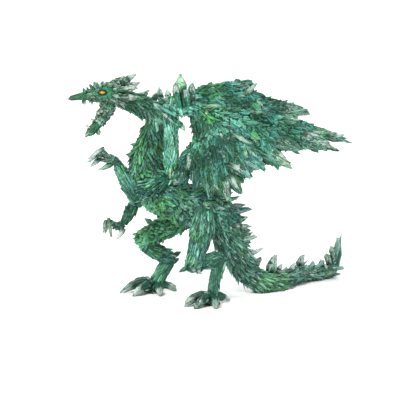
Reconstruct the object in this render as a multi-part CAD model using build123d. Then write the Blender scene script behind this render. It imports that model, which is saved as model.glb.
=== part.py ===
from build123d import *
import os

# Crystal dragon miniature: a painted, glued-up figure made of separate castings.
#
# The dragon stands on two legs and its tail, facing -X, with its left side towards -Y and +Z up.
# The origin is on the ground, under the middle of its bounding box.
# Each casting is one closed solid of flat facets. Neighbours meet face to face, and a round peg on one
# sits in a blind socket in the other. All sizes are in millimetres.

# ---- Driving dimensions -------------------------------------------------------------------------
SIDES = 8                 # corners of a limb's cross-section
CRYSTAL_SIDES = 6         # corners of a crystal's cross-section
PEG_CLEARANCE = 0.05      # radial gap between a peg and its socket
SOCKET_RELIEF = 0.4       # a socket is this much deeper than its peg
PEG_ROOT = 2.0            # how far a peg's own root runs back into its casting
TORSO_WALL = 5.0          # thickness left around the hollow of the torso
PIN_RADIUS = 1.5          # the two dowel pins that line up the torso halves
PIN_LENGTH = 3.5
DOWELS = ((-47.5, 74.5), (10.0, 59.0))  # where the dowels cross the middle plane, as (x, z)
CRYSTAL_SHOULDER = 0.62   # where along a crystal its point begins
FOOTPRINT = 400.0         # side of the block that trims castings flat on the ground
SHIFT = Vector(-4.75, 1.0, 0)  # moves the sculpt so that its box is centred on the origin

LEFT = -1
RIGHT = 1
ACROSS = Vector(0, 1, 0)

castings = {}


# ---- Shapes -------------------------------------------------------------------------------------
def perpendicular(side, axis):
    """The part of side that is square to axis, as a unit vector."""
    return (side - axis * side.dot(axis)).normalized()


def tangents(points):
    """The direction of a chain of points at each point: the mean of the runs on either side of it."""
    runs = [(b - a).normalized() for a, b in zip(points, points[1:])]
    inner = [(a + b).normalized() for a, b in zip(runs, runs[1:])]
    return [runs[0], *inner, runs[-1]]


def ring(centre, axis, side, half_width, half_height, count):
    """The corners of one cross-section: a polygon in an ellipse, square to axis."""
    across = perpendicular(side, axis)
    up = axis.cross(across)
    corners = []
    for k in range(count):
        turn = Vector(1, 0).rotate(Axis.Z, 360 * (k + 0.5) / count)
        corners.append(centre + across * (half_width * turn.X) + up * (half_height * turn.Y))
    return corners


def facets(rings, tip=None):
    """A closed solid of flat triangles through the rings, ending in a face or in a pointed tip."""
    faces = [Face(Wire.make_polygon(rings[0], close=True))]
    for low, high in zip(rings, rings[1:]):
        count = len(low)
        for k in range(count):
            n = (k + 1) % count
            faces.append(Face(Wire.make_polygon([low[k], low[n], high[n]], close=True)))
            faces.append(Face(Wire.make_polygon([low[k], high[n], high[k]], close=True)))
    last = rings[-1]
    if tip is None:
        faces.append(Face(Wire.make_polygon(last, close=True)))
    else:
        for k in range(len(last)):
            n = (k + 1) % len(last)
            faces.append(Face(Wire.make_polygon([last[k], last[n], tip], close=True)))
    solid = Solid(Shell(faces))
    return solid.fix()


def chain_rings(stations, side=ACROSS, count=SIDES):
    """The cross-sections of a limb. Each station is (x, y, z, half width, half height)."""
    points = [Vector(*s[:3]) + SHIFT for s in stations]
    return [
        ring(p, axis, side, s[3], s[4], count)
        for p, axis, s in zip(points, tangents(points), stations)
    ]


def limb(stations, tip=None, side=ACROSS, count=SIDES):
    """A limb or a claw through its stations, with a pointed end where a tip is given."""
    end = None if tip is None else Vector(*tip) + SHIFT
    return facets(chain_rings(stations, side, count), end)


def crystal(base, tip, radius):
    """One six-sided crystal that grows from base and comes to a point at tip."""
    start = Vector(*base) + SHIFT
    end = Vector(*tip) + SHIFT
    run = end - start
    axis = run.normalized()
    side = ACROSS if abs(axis.Y) < 0.9 else Vector(1, 0, 0)
    low = ring(start, axis, side, 0.75 * radius, 0.75 * radius, CRYSTAL_SIDES)
    shoulder = start + run * CRYSTAL_SHOULDER
    high = ring(shoulder, axis, side, radius, radius, CRYSTAL_SIDES)
    return facets([low, high], end)


def blade(root, tip, half_width, thickness, normal):
    """One long flat crystal of a wing: narrow at the root, widest past the middle, pointed."""
    start = Vector(*root) + SHIFT
    end = Vector(*tip) + SHIFT
    run = end - start
    axis = run.normalized()
    side = normal.cross(axis)
    shares = [(0.0, 0.35), (0.4, 0.9), (0.72, 1.0)]
    rings = [
        ring(start + run * along, axis, side, half_width * wide, thickness / 2, CRYSTAL_SIDES)
        for along, wide in shares
    ]
    return facets(rings, end)


def rod(at, towards, radius, length):
    """A cylinder from at, length long, pointing along towards."""
    return Solid.make_cylinder(radius, length, Plane(origin=at, z_dir=towards))


def biggest(shape):
    """The largest solid of a shape: trimming can leave crumbs."""
    return max(shape.solids(), key=lambda s: s.volume)


def grounded(shape):
    """The shape with everything below the ground cut off flat."""
    block = Box(FOOTPRINT, FOOTPRINT, FOOTPRINT).moved(Location((0, 0, FOOTPRINT / 2)))
    return biggest(shape & block)


def fused(body, extras):
    """The body with its crystals, claws or teeth grown onto it."""
    for extra in extras:
        body = body + extra
    return biggest(body)


def seat(name, shape, onto=(), clear_of=(), peg=None):
    """Adds a casting, trimmed to the castings it touches. Its peg gets a socket in those it sits on.

    peg is (point on the joint, direction into the neighbour, radius, depth).
    """
    for other in (*onto, *clear_of):
        shape = biggest(shape - castings[other])
    if peg:
        point, direction, radius, depth = peg
        into = Vector(*direction).normalized()
        at = Vector(*point) + SHIFT
        shape = shape + rod(at - into * PEG_ROOT, into, radius, depth + PEG_ROOT)
        hole = rod(at - into * PEG_ROOT, into, radius + PEG_CLEARANCE, depth + PEG_ROOT + SOCKET_RELIEF)
        for other in onto:
            castings[other] = biggest(castings[other] - hole)
    castings[name] = biggest(shape)


# ---- The spine: one chain of cross-sections from snout to tail, cut into castings --------------------
HEAD = [
    (-82.5, 0, 130.0, 2.7, 2.0),
    (-76.5, 0, 130.6, 3.7, 2.9),
    (-70.5, 0, 131.6, 5.4, 4.4),
    (-64.5, 0, 131.6, 7.2, 6.2),
    (-58, 0, 130.0, 7.4, 7.0),
]
NECK_TOP = [
    (-52.5, 0, 127.8, 5.8, 6.2),
    (-43.5, 0, 124.2, 5.4, 6.2),
    (-35.5, 0, 120.5, 5.4, 6.0),
]
NECK_BASE = [
    (-32.8, 0, 113.5, 5.4, 5.6),
    (-35.6, 0, 104.5, 5.8, 6.2),
    (-38.6, 0, 94.5, 7.8, 8.8),
]
TORSO = [
    (-38, 0, 86, 10.5, 11.0),
    (-37, 0, 77, 13.5, 14.5),
    (-28, 0, 67.5, 14.0, 14.5),
    (-17, 0, 61.0, 12.0, 12.5),
    (-5.5, 0, 57.5, 12.5, 13.0),
    (4.5, 0, 53.5, 12.0, 13.0),
]
TAIL_ROOT = [
    (11.5, 0, 45.5, 9.8, 10.6),
    (16, 1.5, 31.5, 8.2, 8.6),
    (22, 3.5, 20.0, 7.2, 7.6),
]
TAIL_BEND = [
    (28.5, 5, 11.5, 6.6, 7.0),
    (37, 6, 6.6, 6.2, 6.8),
    (47, 9.5, 5.0, 5.6, 6.0),
]
TAIL_SWEEP = [
    (56, 16, 5.0, 5.2, 5.6),
    (64, 23.5, 5.8, 4.6, 5.0),
    (72.5, 29.5, 4.9, 4.3, 4.6),
]
TAIL_END = [
    (82, 33.5, 3.6, 4.0, 4.3),
    (89.2, 36, 4.8, 3.6, 3.9),
    (93.5, 37, 9.3, 3.2, 3.5),
    (95.4, 37, 15.5, 2.7, 2.9),
]
SNOUT = Vector(-88.0, 0, 129.2) + SHIFT
TAIL_TIP = Vector(97.6, 37, 28) + SHIFT

spine = [*HEAD, *NECK_TOP, *NECK_BASE, *TORSO, *TAIL_ROOT, *TAIL_BEND, *TAIL_SWEEP, *TAIL_END]
spine_rings = chain_rings(spine)
spine_points = [Vector(*station[:3]) for station in spine]
spine_axes = tangents(spine_points)


def span(first, last):
    """The cross-sections from the station first to the station last, both included."""
    low, high = sorted((spine.index(first), spine.index(last)))
    return spine_rings[low:high + 1]


def spine_peg(station, towards, radius, depth):
    """A peg on the spine at a station, pointing along it towards another station."""
    at = spine.index(station)
    sign = 1 if spine.index(towards) > at else -1
    return tuple(spine_points[at]), tuple(spine_axes[at] * sign), radius, depth


# ---- Torso: two hollow halves, split down the middle ---------------------------------------------
def torso_halves():
    """The hollow torso, cut along its middle plane, with two dowel pins across the cut."""
    hollow = limb([(x, y, z, w - TORSO_WALL, h - TORSO_WALL) for x, y, z, w, h in TORSO[1:]])
    body = facets(span(TORSO[0], TAIL_ROOT[0])) - hollow
    middle = Plane((0, SHIFT.Y, 0), x_dir=(1, 0, 0), z_dir=(0, 1, 0))
    right = biggest(split(body, bisect_by=middle, keep=Keep.TOP))
    left = biggest(split(body, bisect_by=middle, keep=Keep.BOTTOM))
    for x, z in DOWELS:
        at = Vector(x, 0, z) + SHIFT
        left = left + rod(at - ACROSS * PEG_ROOT, ACROSS, PIN_RADIUS, PEG_ROOT + PIN_LENGTH)
        right = right - rod(at, ACROSS, PIN_RADIUS + PEG_CLEARANCE, PIN_LENGTH + SOCKET_RELIEF)
    return biggest(left), biggest(right)


castings["torso_left"], castings["torso_right"] = torso_halves()
TORSO_HALVES = ("torso_left", "torso_right")

# ---- Neck, in two castings, the head and the lower jaw --------------------------------------------
neck_base = fused(facets(span(NECK_BASE[0], TORSO[0])), [
    crystal((-41, 0, 90), (-51.5, 0, 93), 2.4),
    crystal((-40, 0, 96), (-48.5, 0, 99.5), 2.0),
    crystal((-37, 0, 103), (-42.5, 0, 107.5), 1.7),
    crystal((-34, 0, 96), (-26.5, 0, 101), 2.0),
])
seat("neck_base", neck_base, onto=TORSO_HALVES, peg=spine_peg(TORSO[0], TORSO[1], 3.5, 7))

neck_top = fused(facets(span(NECK_TOP[0], NECK_BASE[0])), [
    crystal((-33, 0, 121), (-24.5, 0, 127.5), 2.0),
    crystal((-36, 1, 123), (-30.5, 1.5, 131.5), 1.9),
    crystal((-42, 0, 127), (-37, 0, 133), 1.7),
])
seat("neck_top", neck_top, onto=("neck_base",), peg=spine_peg(NECK_BASE[0], NECK_BASE[1], 2.4, 5))

CREST = [
    crystal((-64, 0, 136), (-51.5, 0, 141), 2.0),
    crystal((-57, 0, 135.5), (-45, 0, 143.2), 2.2),
    crystal((-55, 0, 133), (-42.5, 0, 138), 1.9),
]
BROW = [crystal((-69, s * 3.5, 134), (-68.5, s * 4.5, 138.4), 1.2) for s in (LEFT, RIGHT)]
TEMPLES = [
    crystal((-60, s * 5.5, z), (-46, s * 8.5, z + rise), 1.7)
    for s in (LEFT, RIGHT)
    for z, rise in ((133.5, 2.5), (130.0, -0.5))
]
UPPER_TEETH = [
    crystal((x, s * wide, 129), (x - 0.8, s * wide, bottom), 0.8)
    for s in (LEFT, RIGHT)
    for x, wide, bottom in ((-77.5, 2.4, 124.8), (-73.0, 3.2, 125.2), (-68.5, 3.8, 125.6))
]
head = facets(span(NECK_TOP[0], HEAD[0])[::-1], SNOUT)
head = fused(head, [*CREST, *BROW, *TEMPLES, *UPPER_TEETH])
seat("head", head, onto=("neck_top",), peg=spine_peg(NECK_TOP[0], NECK_TOP[1], 2.4, 5))

JAW = [
    (-61.0, 0, 127.5, 5.0, 4.6),
    (-64.0, 0, 120.5, 4.4, 4.3),
    (-67.2, 0, 115.0, 3.3, 3.5),
    (-71.0, 0, 111.0, 2.6, 2.9),
    (-73.8, 0, 108.2, 2.7, 2.9),
]
LOWER_TEETH = [
    crystal((x, s * wide, z), (x - 2.9, s * wide, z + 1.8), 0.8)
    for s in (LEFT, RIGHT)
    for x, wide, z in ((-67.0, 2.8, 118.5), (-70.5, 2.1, 114.0), (-73.5, 1.8, 110.0))
]
lower_jaw = limb(JAW, tip=(-77.5, 0, 104.8))
lower_jaw = fused(lower_jaw, [*LOWER_TEETH, crystal((-70, 0, 111), (-68.5, 0, 105.5), 1.3)])
seat("lower_jaw", lower_jaw, onto=("head",), peg=((-61.5, 0, 126.5), (0.3, 0, 1), 1.6, 3.0))

# ---- Tail, in four castings ------------------------------------------------------------------------
tail_root = fused(facets(span(TAIL_ROOT[0], TAIL_BEND[0])), [
    crystal((17, 0, 47), (26.5, 0, 50), 2.1),
    crystal((18, 0.5, 39), (28.0, 0.5, 42), 2.3),
    crystal((20, 1, 32), (28.5, 1, 34), 1.9),
    crystal((22, 2, 26), (31.5, 2, 27.5), 1.9),
])
seat("tail_root", grounded(tail_root), onto=TORSO_HALVES,
     peg=spine_peg(TAIL_ROOT[0], TORSO[0], 4.0, 5.5))

tail_bend = fused(facets(span(TAIL_BEND[0], TAIL_SWEEP[0])), [
    crystal((30, 5, 14), (36.5, 5, 22.5), 2.0),
    crystal((41.5, 8, 8), (46.3, 8.5, 23.5), 2.8),
    crystal((47, 10, 8), (51.0, 10.5, 16.5), 1.7),
])
seat("tail_bend", grounded(tail_bend), onto=("tail_root",),
     peg=spine_peg(TAIL_BEND[0], TAIL_ROOT[0], 2.8, 5))

tail_sweep = fused(facets(span(TAIL_SWEEP[0], TAIL_END[0])), [
    crystal((58, 18, 8), (62.0, 19, 15.0), 1.6),
    crystal((66, 25, 9), (69.5, 26.5, 18.5), 2.0),
    crystal((76, 31, 7), (78, 32, 12.5), 1.5),
])
seat("tail_sweep", grounded(tail_sweep), onto=("tail_bend",),
     peg=spine_peg(TAIL_SWEEP[0], TAIL_BEND[0], 2.2, 4.5))

tail_end = fused(facets(span(TAIL_END[0], TAIL_END[-1]), TAIL_TIP), [
    crystal((84.5, 34.5, 6), (84.0, 34.5, 13.0), 1.5),
    crystal((89, 36, 8), (87.8, 36, 16.5), 1.6),
    crystal((92.5, 37, 11), (91.2, 37, 20.5), 1.7),
])
seat("tail_end", grounded(tail_end), onto=("tail_sweep",),
     peg=spine_peg(TAIL_END[0], TAIL_SWEEP[0], 1.7, 4))

# ---- Legs: thigh, shin, lower leg and foot -----------------------------------------------------------
LEFT_LEG = {
    "thigh": [(-4, -8, 58, 6.5, 8.2), (-6.5, -14.5, 46, 6.2, 7.6), (-10.5, -18, 35.5, 5.6, 5.8),
              (-12.5, -20, 27.5, 5.2, 6.0), (-12.7, -20, 21.5, 3.6, 4.4)],
    "shin": [(-12, -20, 26, 4.2, 4.8), (-5, -20.5, 27.2, 4.0, 4.7), (2, -21, 28.8, 3.7, 4.4),
             (5, -21, 29.6, 2.2, 2.8)],
    "lower_leg": [(1.8, -21, 31.5, 3.0, 3.8), (0.8, -21, 21, 3.1, 3.5), (-1.0, -21, 11, 2.8, 3.1),
                  (-1.8, -21, 5.5, 3.6, 4.0)],
}
RIGHT_LEG = {
    "thigh": [(-4, 7, 54, 6.5, 8.0), (-14, 14, 47.5, 6.2, 7.6), (-25, 18, 41.0, 5.8, 6.8),
              (-33.5, 20, 35.5, 5.4, 6.4), (-38.5, 20.5, 32.0, 3.6, 4.2)],
    "shin": [(-35, 20, 31.5, 4.4, 5.0), (-27.5, 21, 26.4, 4.2, 5.0), (-20.0, 22, 21.6, 3.8, 4.6),
             (-16, 22, 19.6, 2.4, 3.0)],
    "lower_leg": [(-17.4, 22, 24.5, 2.8, 3.0), (-19.9, 22, 18.5, 3.4, 4.5), (-25, 22, 10.8, 3.2, 4.1),
                  (-28.4, 22, 5.2, 3.6, 4.2)],
}
LEG_CRYSTALS = {
    "left_thigh": [crystal((-15, -20, 25), (-23, -20.5, 21.5), 1.6)],
    "left_lower_leg": [crystal((1.5, -21, 14), (6.5, -21, 27), 1.6)],
    "right_thigh": [
        crystal((-24, 18, 45), (-27.5, 18, 52.0), 1.7),
        crystal((-29, 18.5, 43), (-35.5, 18.5, 48.5), 1.8),
        crystal((-34, 20, 36), (-42.8, 20, 38.8), 2.0),
    ],
    "right_shin": [crystal((-18, 22, 22), (-10.8, 22, 25.2), 1.7)],
    "right_lower_leg": [crystal((-19, 22, 17), (-12.5, 22, 20.5), 1.5)],
}
for side, leg in (("left", LEFT_LEG), ("right", RIGHT_LEG)):
    hip = leg["thigh"][0][:3]
    thigh_name, shin_name, lower_name = (f"{side}_{bone}" for bone in leg)
    knee, hock = leg["shin"][0][:3], leg["lower_leg"][0][:3]
    outward = leg["thigh"][1]
    rim = tuple(0.35 * a + 0.65 * b for a, b in zip(hip, outward))
    into_hip = tuple(a - b for a, b in zip(hip, outward))
    thigh = fused(limb(leg["thigh"]), LEG_CRYSTALS.get(thigh_name, ()))
    seat(thigh_name, thigh, onto=(f"torso_{side}",), clear_of=("tail_root",),
         peg=(rim, into_hip, 3.0, 6.5))
    shin = fused(limb(leg["shin"]), LEG_CRYSTALS.get(shin_name, ()))
    along = tuple(a - b for a, b in zip(knee, leg["shin"][1]))
    into_knee = tuple(0.25 * a + 0.75 * b for a, b in zip(knee, leg["shin"][1]))
    seat(shin_name, shin, onto=(thigh_name,), peg=(into_knee, along, 1.8, 5.0))
    lower = fused(limb(leg["lower_leg"]), LEG_CRYSTALS.get(lower_name, ()))
    rise = tuple(a - b for a, b in zip(hock, leg["lower_leg"][1]))
    below = tuple(0.45 * a + 0.55 * b for a, b in zip(hock, leg["lower_leg"][1]))
    seat(lower_name, lower, onto=(shin_name,), peg=(below, rise, 1.5, 3.5))

ANKLE_HEIGHT = 5.5
LEFT_TOES = [
    ([(-2, -21.5, 4.6, 3.6, 3.8), (-9, -23, 6.4, 2.6, 3.0), (-14.5, -24, 4.6, 2.1, 2.5)],
     (-21, -25, 0.8)),
    ([(-2, -22, 4.4, 3.4, 3.6), (-7.5, -26.5, 5.6, 2.5, 2.9), (-11.5, -29.5, 4.0, 2.0, 2.4)],
     (-16, -33, 0.7)),
    ([(-2, -22, 4.4, 3.4, 3.6), (-2.4, -28, 5.2, 2.5, 2.8), (-2.8, -31.5, 3.8, 2.1, 2.4)],
     (-3.4, -36.5, 0.7)),
    ([(-2, -21, 4.4, 3.4, 3.6), (-8.5, -18.5, 5.8, 2.5, 2.9), (-12.5, -16.5, 4.2, 2.0, 2.3)],
     (-18, -14, 0.7)),
    ([(-2, -21, 4.2, 3.4, 3.4), (3.5, -19.8, 4.8, 2.3, 2.8), (6, -19, 3.6, 1.9, 2.2)], (10.0, -18, 1.0)),
]
RIGHT_TOES = [
    ([(-29, 22, 4.6, 3.6, 3.8), (-37, 21, 6.8, 2.6, 3.1), (-43.5, 20.5, 5.4, 2.2, 2.6)],
     (-51.0, 20, 1.0)),
    ([(-29, 21, 4.4, 3.4, 3.6), (-35, 17, 5.8, 2.5, 2.9), (-39.5, 14.5, 4.2, 2.1, 2.4)], (-45, 11, 0.7)),
    ([(-29, 20.5, 4.4, 3.4, 3.6), (-28.5, 14.5, 5.2, 2.5, 2.8), (-28, 11.5, 3.8, 1.9, 2.2)],
     (-28, 7, 0.7)),
    ([(-29, 23, 4.6, 3.4, 3.6), (-35, 27, 6.6, 2.5, 3.0), (-38.5, 29, 5.8, 2.0, 2.4)], (-43.5, 32, 1.0)),
    ([(-29, 22, 4.2, 3.4, 3.4), (-22.5, 21.5, 4.8, 2.3, 2.8), (-19.5, 21, 3.8, 1.9, 2.2)],
     (-14.0, 20.5, 0.9)),
]
for side, toes, leg in (("left", LEFT_TOES, LEFT_LEG), ("right", RIGHT_TOES, RIGHT_LEG)):
    x, y = leg["lower_leg"][-1][:2]
    sole = limb([(x, y, ANKLE_HEIGHT, 4.2, 4.4), (x - 0.6, y, 2.5, 4.8, 5.0), (x - 0.8, y, -1, 5.0, 5.2)])
    foot = fused(sole, [limb(stations, tip) for stations, tip in toes])
    into_shank = tuple(Vector(*leg["lower_leg"][-2][:3]) - Vector(x, y, ANKLE_HEIGHT))
    seat(f"{side}_foot", grounded(foot), onto=(f"{side}_lower_leg",),
         peg=((x, y, ANKLE_HEIGHT - 0.3), into_shank, 1.4, 4.0))

# ---- Arms: upper arm, forearm and hand ---------------------------------------------------------------
ARMS = {
    "left": {
        "upper_arm": [(-30, -9, 77, 5.2, 5.4), (-40, -15, 74, 4.4, 4.6), (-48, -17.8, 71, 3.7, 4.0),
                      (-52, -18.6, 69.6, 2.2, 2.6)],
        "forearm": [(-49.6, -18, 67.0, 3.4, 3.6), (-54.4, -18.8, 76.5, 3.4, 4.1),
                    (-59.0, -19.5, 85.5, 2.8, 3.3),
                    (-61.8, -20, 92.2, 2.3, 2.6)],
        "palm": [(-61.8, -20, 92.2, 2.3, 2.6), (-65.5, -20.2, 94.2, 3.0, 2.6),
                 (-69.5, -20.5, 94.5, 2.8, 2.2)],
    },
    "right": {
        "upper_arm": [(-30, 8, 74, 5.0, 5.4), (-36, 13, 66.5, 4.2, 4.6), (-40.5, 16, 60.5, 3.6, 3.9),
                      (-42, 16.6, 57.5, 2.2, 2.6)],
        "forearm": [(-40.0, 16, 62.5, 3.0, 3.3), (-43.8, 16, 56.0, 3.1, 3.6), (-47.2, 16, 50.0, 2.7, 3.0),
                    (-49.6, 16, 46.0, 2.2, 2.5)],
        "palm": [(-49.6, 16, 46.0, 2.2, 2.5), (-52.5, 16, 44.8, 2.9, 2.7), (-56.0, 15.6, 45.2, 2.7, 2.2)],
    },
}
ARM_CRYSTALS = {
    "left_upper_arm": [crystal((-49, -18, 69.5), (-47.5, -20, 62.5), 1.6)],
    "right_forearm": [crystal((-45, 14.5, 51), (-49.5, 13, 58.5), 1.7)],
}
FINGERS = {
    "left": [
        ([(-67, -22, 95, 1.5, 1.6), (-70.5, -22.8, 99, 1.3, 1.4), (-74.5, -23, 99.6, 1.2, 1.2)],
         (-81, -23, 95.2)),
        ([(-67, -20, 94.5, 1.5, 1.6), (-72.5, -19.5, 97, 1.3, 1.4), (-76, -19, 96.2, 1.1, 1.2)],
         (-80, -19, 92.2)),
        ([(-67, -18, 93.5, 1.5, 1.5), (-71.5, -16.5, 93.5, 1.2, 1.3), (-74, -16.0, 92.2, 1.0, 1.1)],
         (-77.5, -15.5, 89)),
        ([(-64.5, -19.5, 92.5, 1.5, 1.5), (-67.5, -19, 90, 1.2, 1.3)], (-73, -18.5, 87)),
    ],
    "right": [
        ([(-54, 13.8, 45, 1.5, 1.6), (-57.5, 13.0, 48, 1.3, 1.4), (-59.5, 12.6, 46, 1.2, 1.2)],
         (-58.5, 12.4, 38.0)),
        ([(-54, 15.6, 45, 1.5, 1.6), (-58.5, 15.6, 47.8, 1.3, 1.4), (-61.5, 15.6, 45.8, 1.1, 1.2)],
         (-63.0, 15.6, 40.5)),
        ([(-53.5, 17.4, 44.5, 1.5, 1.5), (-57.8, 18.4, 46.5, 1.2, 1.3), (-60, 18.8, 44.5, 1.1, 1.1)],
         (-60.5, 18.8, 39.5)),
        ([(-51.5, 14.8, 44, 1.5, 1.5), (-51.5, 13.6, 41.0, 1.3, 1.3)], (-54.5, 12.8, 37.0)),
    ],
}
for side, arm in ARMS.items():
    shoulder, upper = arm["upper_arm"][0][:3], arm["upper_arm"][1][:3]
    shoulder_rim = tuple(0.3 * a + 0.7 * b for a, b in zip(shoulder, upper))
    upper_arm = fused(limb(arm["upper_arm"]), ARM_CRYSTALS.get(f"{side}_upper_arm", ()))
    seat(f"{side}_upper_arm", upper_arm, onto=(f"torso_{side}",), clear_of=("neck_base",),
         peg=(shoulder_rim, tuple(a - b for a, b in zip(shoulder, upper)), 2.2, 5.0))
    elbow, mid = arm["forearm"][0][:3], arm["forearm"][1][:3]
    elbow_rim = tuple(0.35 * a + 0.65 * b for a, b in zip(elbow, mid))
    forearm = fused(limb(arm["forearm"]), ARM_CRYSTALS.get(f"{side}_forearm", ()))
    seat(f"{side}_forearm", forearm, onto=(f"{side}_upper_arm",), clear_of=(f"torso_{side}",),
         peg=(elbow_rim, tuple(a - b for a, b in zip(elbow, mid)), 1.3, 4.0))
    wrist = arm["palm"][0][:3]
    hand = fused(limb(arm["palm"]), [limb(s, tip, count=CRYSTAL_SIDES) for s, tip in FINGERS[side]])
    into_wrist = tuple(a - b for a, b in zip(arm["forearm"][-2][:3], wrist))
    seat(f"{side}_hand", hand, onto=(f"{side}_forearm",), peg=(wrist, into_wrist, 1.1, 3.5))

# ---- Wings: upper arm, forearm with its crystals, and the fan ------------------------------------------
WINGS = {
    "left": {
        "shoulder": (-24.5, -7.5, 79),
        "elbow": (-29, -26, 122.5),
        "wrist": (-18.8, -33, 127),
        "inner_root": (11.5, 6.5, -24),
        "low_edge": (-12.0, -18, 72.0),
        "wrist_crystals": [
            ((-22, -33, 126), (-25.6, -33.5, 147.8), 2.9),
            ((-25, -33.5, 124), (-29.0, -34.5, 142.6), 2.3),
            ((-20, -35, 126), (-23.0, -38.0, 138.8), 2.0),
            ((-17.5, -33, 127), (-18.2, -33.5, 141.6), 2.1),
        ],
        "elbow_crystals": [
            ((-26, -27, 118), (-41, -28, 129), 2.2),
            ((-29, -27, 119), (-20.5, -29, 112), 2.2),
        ],
        "blades": [
            (0.0, (75.5, -48, 105.0), 6.5),
            (0.0, (70.5, -47, 98.5), 6.5),
            (0.0, (49.0, -46, 99.0), 8.0),
            (0.0, (42.0, -44, 88.5), 8.0),
            (0.0, (27.0, -42, 87.0), 8.0),
            (0.1, (18.5, -37, 80.5), 7.5),
            (0.2, (14.0, -30, 71.0), 7.5),
            (0.3, (7.5, -25, 65.5), 7.5),
            (0.3, (-2.0, -21, 68.0), 6.0),
            (0.5, (-12.0, -18, 72.0), 4.5),
            (0.8, (-22.0, -17, 84.0), 4.5),
            (1.0, (-24.0, -12, 74.5), 4.5),
        ],
    },
    "right": {
        "shoulder": (-24.5, 7.5, 79),
        "elbow": (-27, 25, 117),
        "wrist": (-6.0, 31, 121.0),
        "inner_root": (10, -3, -12),
        "low_edge": (21.5, 35, 72.5),
        "wrist_crystals": [
            ((-22, 29, 117), (-23.5, 29, 129.5), 2.0),
            ((-16, 30, 119), (-18.5, 30.5, 127.0), 1.8),
            ((-9, 31, 120), (-9.5, 31.5, 128.0), 1.8),
        ],
        "elbow_crystals": [
            ((-25, 26, 113), (-17.5, 27.5, 108), 2.0),
        ],
        "blades": [
            (0.0, (18.5, 36, 127.0), 4.0),
            (0.0, (43.5, 42, 126.5), 5.5),
            (0.0, (57.5, 42, 114.5), 6.5),
            (0.0, (79.0, 46, 106.0), 6.5),
            (0.0, (66.0, 45, 98.5), 6.5),
            (0.0, (43.0, 43, 88.0), 9.0),
            (0.3, (31.0, 40, 80.0), 8.5),
            (0.6, (21.5, 35, 72.5), 6.5),
            (1.0, (13.5, 31, 69.0), 4.0),
        ],
    },
}
BLADE_THICKNESS = 3.4
for side, wing in WINGS.items():
    shoulder, elbow, wrist = (Vector(*wing[k]) for k in ("shoulder", "elbow", "wrist"))
    humerus = [
        (*(shoulder + (elbow - shoulder) * share), width, height)
        for share, width, height in ((0.0, 4.6, 4.8), (0.35, 3.7, 4.2), (0.75, 3.3, 3.9), (1.0, 3.2, 3.8))
    ]
    upper = fused(limb(humerus), [crystal(*c) for c in wing["elbow_crystals"]])
    seat(f"{side}_wing_upper_arm", upper, onto=(f"torso_{side}",),
         clear_of=(f"{side}_upper_arm", "neck_base"),
         peg=(tuple(shoulder + (elbow - shoulder) * 0.14), tuple(shoulder - elbow), 2.2, 5.5))
    reach = wrist - elbow
    ulna = [
        (*(elbow + reach * share), width, height)
        for share, width, height in ((-0.05, 2.8, 3.2), (0.5, 3.3, 3.8), (1.0, 3.2, 3.8), (1.3, 2.4, 2.6))
    ]
    forearm = fused(limb(ulna), [crystal(*c) for c in wing["wrist_crystals"]])
    seat(f"{side}_wing_forearm", forearm, onto=(f"{side}_wing_upper_arm",),
         peg=(tuple(elbow + reach * 0.42), tuple(elbow - wrist), 1.5, 4.0))
    first, last = Vector(*wing["blades"][0][1]), Vector(*wing["low_edge"])
    normal = (first - wrist).cross(last - wrist).normalized()
    fan = None
    for share, tip, half_width in wing["blades"]:
        root = wrist + Vector(*wing["inner_root"]) * share
        leaf = blade(tuple(root), tip, half_width, BLADE_THICKNESS, normal)
        fan = leaf if fan is None else fan + leaf
    middle = (first + last) * 0.5 - wrist
    seat(f"{side}_wing_fan", biggest(fan), onto=(f"{side}_wing_forearm",),
         clear_of=(f"torso_{side}", f"{side}_wing_upper_arm", f"{side}_thigh"),
         peg=(tuple(wrist + middle.normalized() * 4.5), tuple(middle * -1), 1.1, 3.5))

# ---- Write one file per casting -------------------------------------------------------------------
os.makedirs("parts", exist_ok=True)
for name, shape in castings.items():
    export_step(shape, f"parts/{name}.step")
whole = Compound(children=list(castings.values())).bounding_box()
print("castings", len(castings))
print("low corner", whole.min, "high corner", whole.max)
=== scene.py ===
import bpy
import numpy as np
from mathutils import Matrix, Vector
from mathutils.bvhtree import BVHTree


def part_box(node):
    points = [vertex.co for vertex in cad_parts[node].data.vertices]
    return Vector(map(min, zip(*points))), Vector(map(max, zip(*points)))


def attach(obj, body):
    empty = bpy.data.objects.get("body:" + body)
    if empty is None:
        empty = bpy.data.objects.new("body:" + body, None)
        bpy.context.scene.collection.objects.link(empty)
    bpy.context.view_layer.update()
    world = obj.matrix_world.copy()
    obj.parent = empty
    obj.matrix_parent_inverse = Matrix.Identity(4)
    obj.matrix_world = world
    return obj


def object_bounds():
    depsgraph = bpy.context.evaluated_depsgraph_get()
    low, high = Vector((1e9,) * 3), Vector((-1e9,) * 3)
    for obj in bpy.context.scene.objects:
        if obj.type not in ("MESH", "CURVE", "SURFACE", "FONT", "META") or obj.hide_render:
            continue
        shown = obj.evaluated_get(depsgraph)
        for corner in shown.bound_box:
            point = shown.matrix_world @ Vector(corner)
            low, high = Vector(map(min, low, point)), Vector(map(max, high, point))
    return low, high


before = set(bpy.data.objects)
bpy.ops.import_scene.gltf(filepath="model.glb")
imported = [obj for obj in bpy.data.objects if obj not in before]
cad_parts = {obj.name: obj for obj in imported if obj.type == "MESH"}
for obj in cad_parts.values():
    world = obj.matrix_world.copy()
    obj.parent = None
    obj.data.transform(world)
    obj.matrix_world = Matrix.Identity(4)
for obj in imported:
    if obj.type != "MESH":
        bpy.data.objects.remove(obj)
cad_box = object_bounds()

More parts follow.
